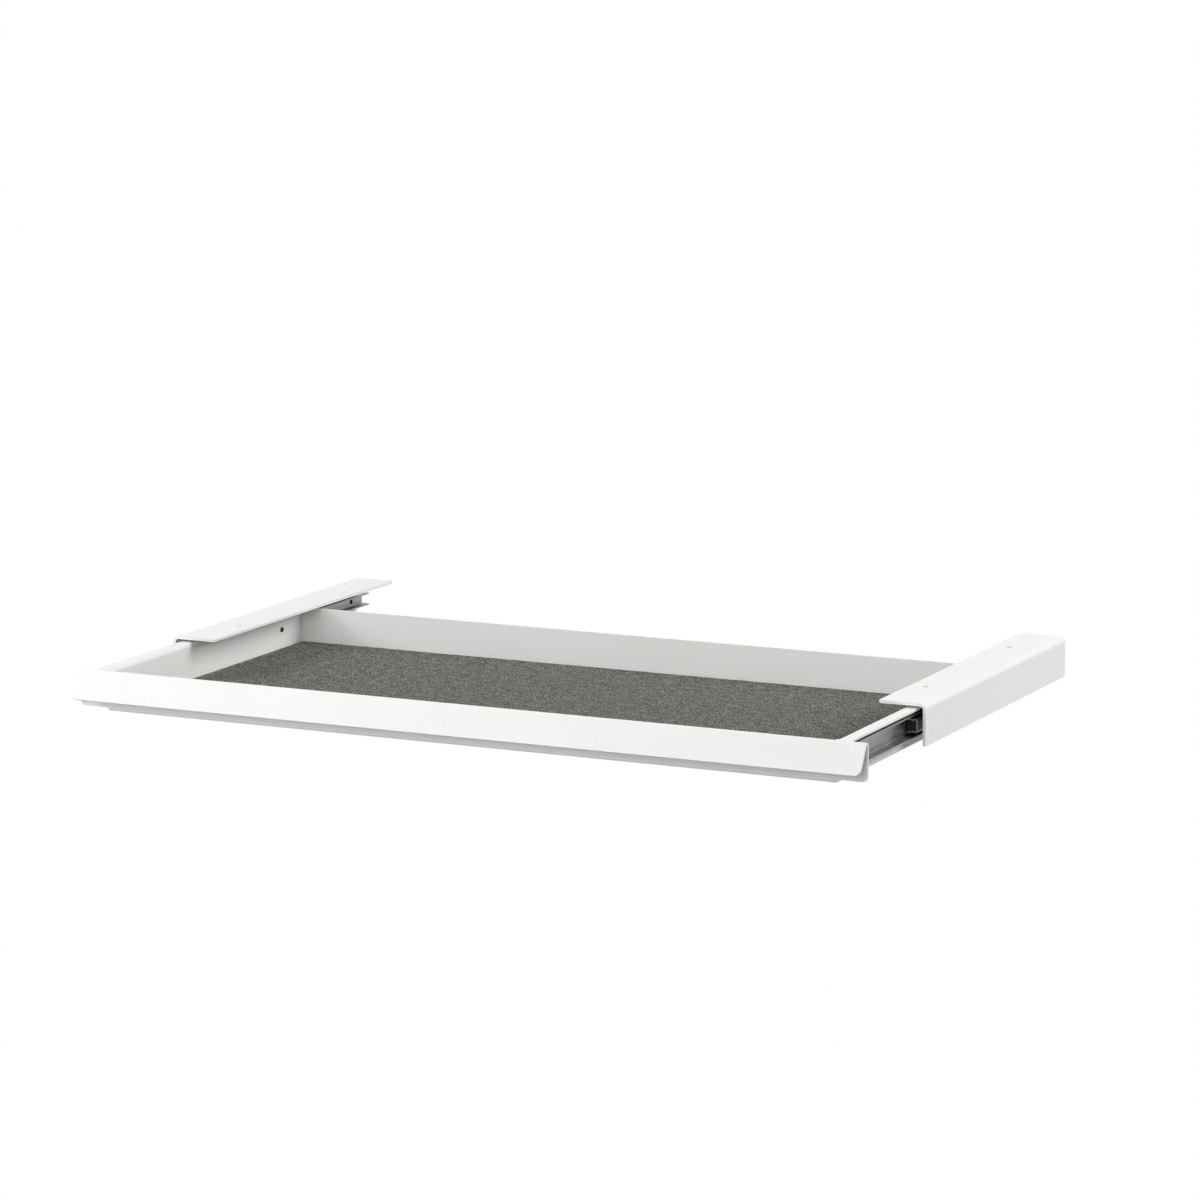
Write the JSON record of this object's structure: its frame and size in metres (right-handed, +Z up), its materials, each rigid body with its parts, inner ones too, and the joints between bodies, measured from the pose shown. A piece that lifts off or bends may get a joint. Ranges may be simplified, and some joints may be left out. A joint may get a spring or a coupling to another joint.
{
  "type": "desk drawer",
  "caption": "Shallow metal drawer that hangs under a desk top from two angle brackets, with a felt-lined tray, a folded front flap to pull and ball-bearing slides.",
  "frame": {"origin": "middle of the four desk-screw holes, on the top faces of the two brackets", "axes": "+Z up, +X to the user's right, and the drawer opens towards -Y"},
  "size_m": [0.613, 0.4113, 0.0336],
  "materials": {
    "white_powder_coat": "fine satin powder coat",
    "rail_steel": "zinc-plated, drawn along the length",
    "cage_steel": "thin bright zinc-plated strip",
    "ball_steel": "polished",
    "black_plastic": "moulded, matt",
    "black_screws": "black oxide",
    "grey_felt": "needled felt, mottled fibres"
  },
  "bodies": {
    "brackets": {"left_bracket": "white_powder_coat", "left_cabinet_rail": "rail_steel", "left_cabinet_screws": "black_screws", "left_front_stop": "black_plastic", "right_bracket": "white_powder_coat", "right_cabinet_rail": "rail_steel", "right_cabinet_screws": "black_screws", "right_front_stop": "black_plastic"},
    "drawer": {"tray": "white_powder_coat", "front_panel": "white_powder_coat", "panel_rivets": "white_powder_coat", "felt_mat": "grey_felt", "left_drawer_rail": "rail_steel", "left_rail_screws": "black_screws", "right_drawer_rail": "rail_steel", "right_rail_screws": "black_screws"},
    "left_cage": {"left_ball_cage": "cage_steel", "left_balls": "ball_steel"},
    "right_cage": {"right_ball_cage": "cage_steel", "right_balls": "ball_steel"}
  },
  "joints": [
    {"name": "drawer_slide", "type": "slide", "parent": "brackets", "child": "drawer", "axis": [0, -1, 0], "range_m": [-0.1155, 0.0845]},
    {"name": "left_cage_roll", "type": "slide", "parent": "brackets", "child": "left_cage", "axis": [0, -1, 0], "range_m": [-0.05775, 0.04225]},
    {"name": "right_cage_roll", "type": "slide", "parent": "brackets", "child": "right_cage", "axis": [0, -1, 0], "range_m": [-0.05775, 0.04225]}
  ],
  "couplings": [
    {"joint": "left_cage_roll", "follows": "drawer_slide", "ratio": 0.5},
    {"joint": "right_cage_roll", "follows": "drawer_slide", "ratio": 0.5}
  ]
}
